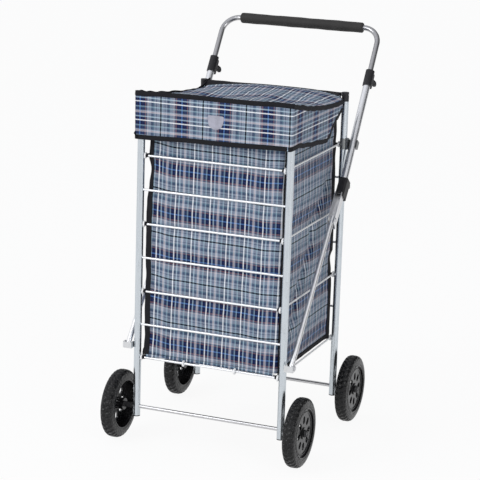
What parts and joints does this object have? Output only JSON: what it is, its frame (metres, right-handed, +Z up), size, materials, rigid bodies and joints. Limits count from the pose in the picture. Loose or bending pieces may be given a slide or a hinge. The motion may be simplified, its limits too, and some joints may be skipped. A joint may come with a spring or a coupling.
{
  "type": "folding shopping trolley",
  "caption": "Folding shopping trolley: two tube-and-wire frames joined by link wires, a braced push handle with a foam grip, spoked wheels and a checked cloth bag with a flap lid.",
  "frame": {"origin": "on the floor under the middle of the whole trolley, handle included", "axes": "+Z up; the front of the bag faces -Y and the push handle leans to +Y; +X is to the right seen from the front"},
  "size_m": [0.462, 0.588, 0.8934],
  "materials": {
    "leg_tube": "satin anodised",
    "wire": "bright zinc plated",
    "axle_steel": "zinc plated",
    "cap_plastic": "satin",
    "black_moulding": "fine grain",
    "bag_cloth": "plain weave with a woven check",
    "tyre_rubber": "matt, moulded tread",
    "rim_plastic": "gloss",
    "bush_plastic": "satin",
    "board_cloth": "covered stiff board",
    "channel_steel": "zinc plated",
    "pin_steel": "zinc plated",
    "washer_plastic": "satin",
    "bow_chrome": "satin chrome",
    "grip_foam": "open foam skin"
  },
  "bodies": {
    "rear_frame": {"rear_leg_left": "leg_tube", "rear_leg_right": "leg_tube", "rear_rungs": "wire", "rear_axle": "axle_steel", "rear_leg_plugs": "cap_plastic", "handle_catch_left": "black_moulding", "handle_catch_right": "black_moulding", "rear_axle_caps": "cap_plastic", "bag_rear_panel": "bag_cloth", "bag_side_left": "bag_cloth", "bag_side_right": "bag_cloth"},
    "rear_wheel_left": {"rear_left_tyre": "tyre_rubber", "rear_left_rim": "rim_plastic", "rear_left_bush": "bush_plastic"},
    "rear_wheel_right": {"rear_right_tyre": "tyre_rubber", "rear_right_rim": "rim_plastic", "rear_right_bush": "bush_plastic"},
    "side_links_top": {"side_wires_top": "wire"},
    "side_links_upper": {"side_wires_upper": "wire"},
    "side_links_lower": {"side_wires_lower": "wire"},
    "bottom_links": {"side_wires_bottom": "wire", "base_wires": "wire", "base_board": "board_cloth"},
    "front_frame": {"front_leg_left": "leg_tube", "front_leg_right": "leg_tube", "front_rungs": "wire", "front_axle": "axle_steel", "front_leg_plugs": "cap_plastic", "brace_bracket_left": "channel_steel", "brace_bracket_right": "channel_steel", "brace_pins": "pin_steel", "front_axle_caps": "cap_plastic", "bag_front_panel": "bag_cloth"},
    "front_wheel_left": {"front_left_tyre": "tyre_rubber", "front_left_rim": "rim_plastic", "front_left_bush": "bush_plastic"},
    "front_wheel_right": {"front_right_tyre": "tyre_rubber", "front_right_rim": "rim_plastic", "front_right_bush": "bush_plastic"},
    "handle_link": {"brace_link_left": "leg_tube", "brace_link_right": "leg_tube"},
    "handle_tube": {"knee_channel_left": "channel_steel", "knee_channel_right": "channel_steel", "knee_pins": "pin_steel", "knee_washers": "washer_plastic", "knee_block_left": "black_moulding", "knee_block_right": "black_moulding", "lever_pins": "pin_steel", "handle_tube_left": "leg_tube", "handle_tube_right": "leg_tube", "clamp_left": "black_moulding", "clamp_right": "black_moulding"},
    "knee_lever_left": {"knee_lever_left": "black_moulding"},
    "knee_lever_right": {"knee_lever_right": "black_moulding"},
    "clamp_screw_left": {"clamp_screw_left": "black_moulding"},
    "clamp_screw_right": {"clamp_screw_right": "black_moulding"},
    "handle_bow": {"handle_bow": "bow_chrome", "foam_grip": "grip_foam"},
    "lid_rod": {"lid_rod": "axle_steel"},
    "lid": {"lid": "bag_cloth"}
  },
  "joints": [
    {"name": "frame_fold", "type": "hinge", "parent": "rear_frame", "child": "bottom_links", "pos_m": [0, 0.11601, 0.19], "axis": [-1, 0, 0], "range_deg": [0, 75], "deforming": ["bag_side_left", "bag_side_right"]},
    {"name": "front_lift", "type": "hinge", "parent": "bottom_links", "child": "front_frame", "pos_m": [0, -0.21799, 0.19], "axis": [1, 0, 0], "range_deg": [0, 75]},
    {"name": "side_links_lower_turn", "type": "hinge", "parent": "rear_frame", "child": "side_links_lower", "pos_m": [0, 0.11601, 0.34], "axis": [-1, 0, 0], "range_deg": [0, 75]},
    {"name": "side_links_upper_turn", "type": "hinge", "parent": "rear_frame", "child": "side_links_upper", "pos_m": [0, 0.11601, 0.49], "axis": [-1, 0, 0], "range_deg": [0, 75]},
    {"name": "side_links_top_turn", "type": "hinge", "parent": "rear_frame", "child": "side_links_top", "pos_m": [0, 0.11601, 0.64], "axis": [-1, 0, 0], "range_deg": [0, 75]},
    {"name": "lid_carry", "type": "hinge", "parent": "front_frame", "child": "lid_rod", "pos_m": [0, -0.21799, 0.753], "axis": [-1, 0, 0], "range_deg": [0, 75]},
    {"name": "lid_open", "type": "hinge", "parent": "lid_rod", "child": "lid", "pos_m": [0, 0.11601, 0.753], "axis": [-1, 0, 0], "range_deg": [0, 105]},
    {"name": "handle_brace", "type": "hinge", "parent": "front_frame", "child": "handle_link", "pos_m": [0, -0.22299, 0.218], "axis": [1, 0, 0], "range_deg": [0, 35]},
    {"name": "handle_knee", "type": "hinge", "parent": "handle_link", "child": "handle_tube", "pos_m": [0, 0.00098, 0.49471], "axis": [1, 0, 0], "range_deg": [0, 170]},
    {"name": "handle_height", "type": "slide", "parent": "handle_tube", "child": "handle_bow", "axis": [0, 0.5592, 0.829], "range_m": [-0.055, 0.085]},
    {"name": "knee_lever_left_pull", "type": "hinge", "parent": "handle_tube", "child": "knee_lever_left", "pos_m": [-0.1905, 0.08659, 0.55279], "axis": [1, 0, 0], "range_deg": [0, 15], "stiffness_Nm_per_rad": 0.05, "springref_deg": -5.73},
    {"name": "knee_lever_right_pull", "type": "hinge", "parent": "handle_tube", "child": "knee_lever_right", "pos_m": [0.1905, 0.08659, 0.55279], "axis": [1, 0, 0], "range_deg": [0, 15], "stiffness_Nm_per_rad": 0.05, "springref_deg": -5.73},
    {"name": "clamp_screw_left_turn", "type": "hinge", "parent": "handle_tube", "child": "clamp_screw_left", "pos_m": [-0.1905, 0.21215, 0.77813], "axis": [0.2079, 0.8109, -0.547], "range_deg": [0, 360]},
    {"name": "clamp_screw_right_turn", "type": "hinge", "parent": "handle_tube", "child": "clamp_screw_right", "pos_m": [0.1905, 0.21215, 0.77813], "axis": [0.2079, 0.8109, -0.547], "range_deg": [0, 360]},
    {"name": "rear_wheel_left_spin", "type": "hinge", "parent": "rear_frame", "child": "rear_wheel_left", "pos_m": [0, 0.11601, 0.076], "axis": [1, 0, 0], "continuous": true},
    {"name": "rear_wheel_right_spin", "type": "hinge", "parent": "rear_frame", "child": "rear_wheel_right", "pos_m": [0, 0.11601, 0.076], "axis": [1, 0, 0], "continuous": true},
    {"name": "front_wheel_left_spin", "type": "hinge", "parent": "front_frame", "child": "front_wheel_left", "pos_m": [0, -0.21799, 0.076], "axis": [1, 0, 0], "continuous": true},
    {"name": "front_wheel_right_spin", "type": "hinge", "parent": "front_frame", "child": "front_wheel_right", "pos_m": [0, -0.21799, 0.076], "axis": [1, 0, 0], "continuous": true}
  ],
  "couplings": [
    {"joint": "front_lift", "follows": "frame_fold", "ratio": 1},
    {"joint": "side_links_lower_turn", "follows": "frame_fold", "ratio": 1},
    {"joint": "side_links_upper_turn", "follows": "frame_fold", "ratio": 1},
    {"joint": "side_links_top_turn", "follows": "frame_fold", "ratio": 1},
    {"joint": "lid_carry", "follows": "frame_fold", "ratio": 1},
    {"joint": "handle_brace", "follows": "frame_fold", "ratio": 0.4666}
  ]
}
